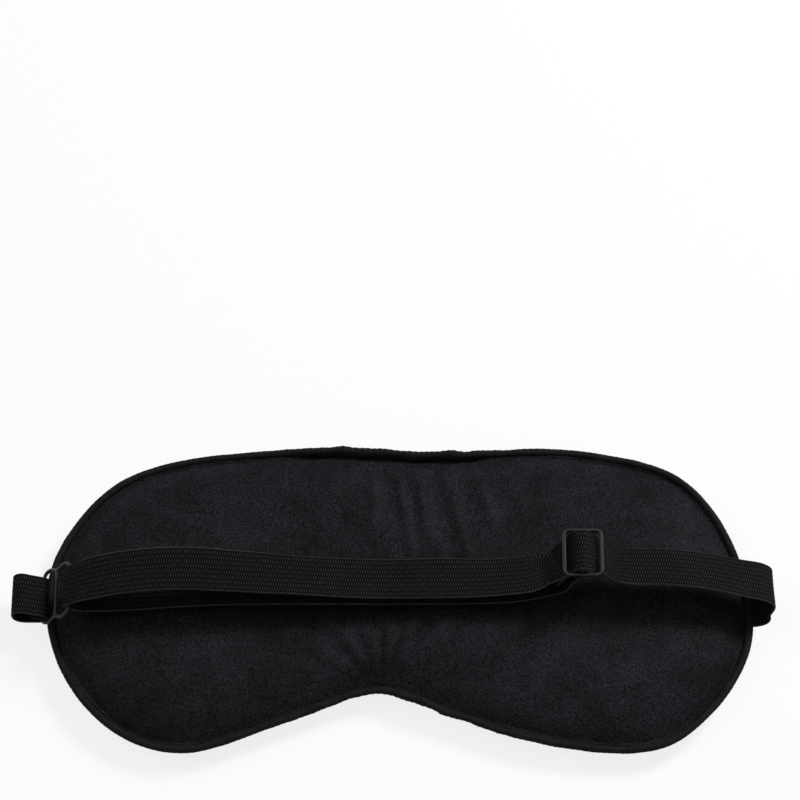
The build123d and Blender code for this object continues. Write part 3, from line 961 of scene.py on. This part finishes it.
bands = [right_loop, right_run, slider_pass, upper_run, ring_turn, return_run, end_loop, ring_tab]
for piece in bands:
    dress(piece, band)
dress(face_side, lining)
dress(outer_side, outer)
dress(piping, edging)
dress(ring_wire, coated_wire)
for node_name, material in (("slider", plastic), ("loop_stitches", thread)):
    for slot in frame["nodes"][node_name].material_slots:
        slot.material = material

# ---- What each piece replaces, and what it moves with ----

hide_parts("back_panel", "padding")
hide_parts("front_panel", "blackout_layer")
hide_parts("piping_cover", "piping_cord")
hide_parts("strap_right_loop")
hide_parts("strap_right_run")
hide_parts("strap_slider_pass")
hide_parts("strap_upper_run")
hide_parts("strap_ring_turn")
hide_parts("strap_return_run")
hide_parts("strap_end_loop")
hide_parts("ring_tab")
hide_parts("ring")
for piece in (face_side, outer_side, piping):
    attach(piece, "mask")
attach(ring_wire, "ring")
for piece in (slider_pass, end_loop):
    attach(piece, "strap_end")


def blend_x(piece):
    """Bakes the piece's transform into its mesh."""
    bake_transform(piece)


def blend_z(piece):
    """The same as blend_x: bakes the piece's transform into its mesh."""
    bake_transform(piece)


blend_z(ring_tab)
blend_z(right_loop)
blend_x(ring_turn)
blend_x(upper_run)
blend_x(return_run)
blend_x(right_run)

# ---- Floor, lights and camera ----

floor_mesh = bpy.data.meshes.new("floor")
floor_half, floor_gap = 3.0, 0.05 * mm
corners = [(-1, -1), (1, -1), (1, 1), (-1, 1)]
floor_points = [(x * floor_half, y * floor_half, 0) for x, y in corners]
floor_mesh.from_pydata(floor_points, [], [(0, 1, 2, 3)])
floor = bpy.data.objects.new("floor", floor_mesh)
floor.location.z = -floor_gap
scene.collection.objects.link(floor)


def backdrop_nodes(tree, surface, emission_share):
    """Mixes white emission over the surface for the rays that show what is behind the object."""
    rays = tree.nodes.new("ShaderNodeLightPath").outputs
    seen = rays["Is Camera Ray"]
    for ray in ("Is Glossy Ray", "Is Transmission Ray"):
        either = tree.nodes.new("ShaderNodeMath")
        either.operation = "MAXIMUM"
        tree.links.new(seen, either.inputs[0])
        tree.links.new(rays[ray], either.inputs[1])
        seen = either.outputs[0]
    share = tree.nodes.new("ShaderNodeMath")
    share.operation = "MULTIPLY"
    tree.links.new(seen, share.inputs[0])
    share.inputs[1].default_value = emission_share
    glow = tree.nodes.new("ShaderNodeEmission")
    glow.inputs["Color"].default_value = (1, 1, 1, 1)
    mix = tree.nodes.new("ShaderNodeMixShader")
    tree.links.new(share.outputs[0], mix.inputs[0])
    tree.links.new(surface, mix.inputs[1])
    tree.links.new(glow.outputs[0], mix.inputs[2])
    return mix.outputs[0]


floor_material = bpy.data.materials.new("pale_floor")
floor_material.use_nodes = True
floor_tree = floor_material.node_tree
floor_shader = floor_tree.nodes["Principled BSDF"]
floor_shader.inputs["Base Color"].default_value = (0.93, 0.93, 0.93, 1)
floor_shader.inputs["Roughness"].default_value = 0.9
floor_tree.links.new(
    backdrop_nodes(floor_tree, floor_shader.outputs[0], 0.82),
    floor_tree.nodes["Material Output"].inputs["Surface"],
)
floor_mesh.materials.append(floor_material)

world = bpy.data.worlds.new("studio")
scene.world = world
world.use_nodes = True
world_tree = world.node_tree
surround = world_tree.nodes["Background"]
surround.inputs["Color"].default_value = (1, 1, 1, 1)
surround.inputs["Strength"].default_value = 0.25
world_tree.links.new(
    backdrop_nodes(world_tree, surround.outputs[0], 1.0),
    world_tree.nodes["World Output"].inputs["Surface"],
)


def soft_light(name, place, size, power):
    """A square area light that faces the middle of the mask, its power in watts."""
    lamp = bpy.data.lights.new(name, "AREA")
    lamp.size, lamp.energy = size, power
    light = bpy.data.objects.new(name, lamp)
    light.location = place
    light.rotation_mode = "QUATERNION"
    light.rotation_quaternion = light.location.to_track_quat("Z", "Y")
    scene.collection.objects.link(light)


soft_light("key_light", (0.75, 0.65, 0.90), 0.35, 14.5)
soft_light("fill_light", (-0.7, 0.2, 1.0), 0.6, 2.5)

# The camera looks down from the cheek side and aims past the brow, so the mask lies low in view.
lens, sensor = 150.0, 36.0
view_width, aim_above = 234.4 * mm, 58.4 * mm
distance = view_width * lens / sensor
tilt = math.radians(62.5)
back = np.array([0.0, -math.cos(tilt), math.sin(tilt)])
upward = np.array([0.0, math.sin(tilt), math.cos(tilt)])
aim = np.array([0.0, 0.0, seam_z]) + upward * aim_above
camera_data = bpy.data.cameras.new("camera")
camera_data.lens, camera_data.sensor_width = lens, sensor
camera = bpy.data.objects.new("camera", camera_data)
camera.location = aim + back * distance
camera.rotation_mode = "XYZ"
camera.rotation_euler = (math.pi / 2 - tilt, 0, 0)
scene.collection.objects.link(camera)
scene.camera = camera
scene.view_settings.view_transform = "Standard"
